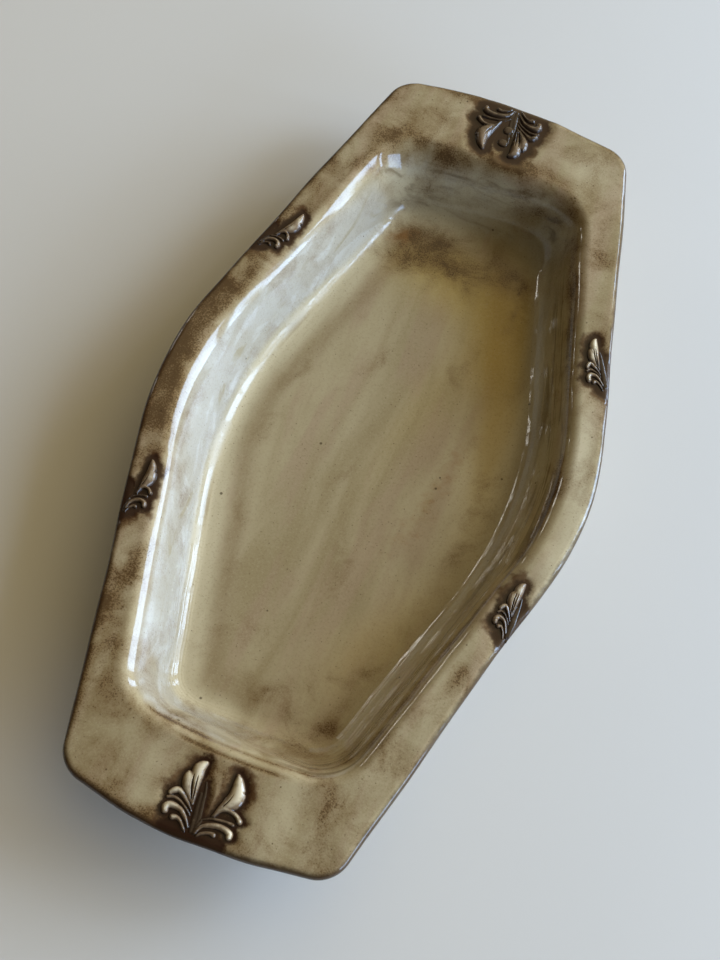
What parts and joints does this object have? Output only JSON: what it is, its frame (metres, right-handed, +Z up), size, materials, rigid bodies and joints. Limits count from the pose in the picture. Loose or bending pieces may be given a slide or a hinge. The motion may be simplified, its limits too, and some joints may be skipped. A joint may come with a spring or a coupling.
{
  "type": "serving plate",
  "caption": "Boat-shaped glazed stoneware serving plate with a deep six-sided well and raised leaf ornaments set into its flat rim.",
  "frame": {"origin": "middle of the flat base, where the plate stands on the table", "axes": "+Y along the length towards the end with the pellets, +X across the width, +Z up out of the well"},
  "size_m": [0.188, 0.36, 0.0383],
  "materials": {
    "glaze": "glossy beige glaze with brown oxide stain",
    "leaf_glaze": "glossy cream glaze worn thin over dark stain",
    "dark_glaze": "glossy dark brown stain"
  },
  "bodies": {
    "root": {"dish": "glaze", "near_left_leaf": "leaf_glaze", "near_right_leaf": "leaf_glaze", "far_left_leaf": "leaf_glaze", "far_right_leaf": "leaf_glaze", "left_front_leaf": "leaf_glaze", "left_back_leaf": "leaf_glaze", "right_front_leaf": "leaf_glaze", "right_back_leaf": "leaf_glaze", "inner_pellet": "dark_glaze", "outer_pellet": "dark_glaze"}
  },
  "joints": []
}
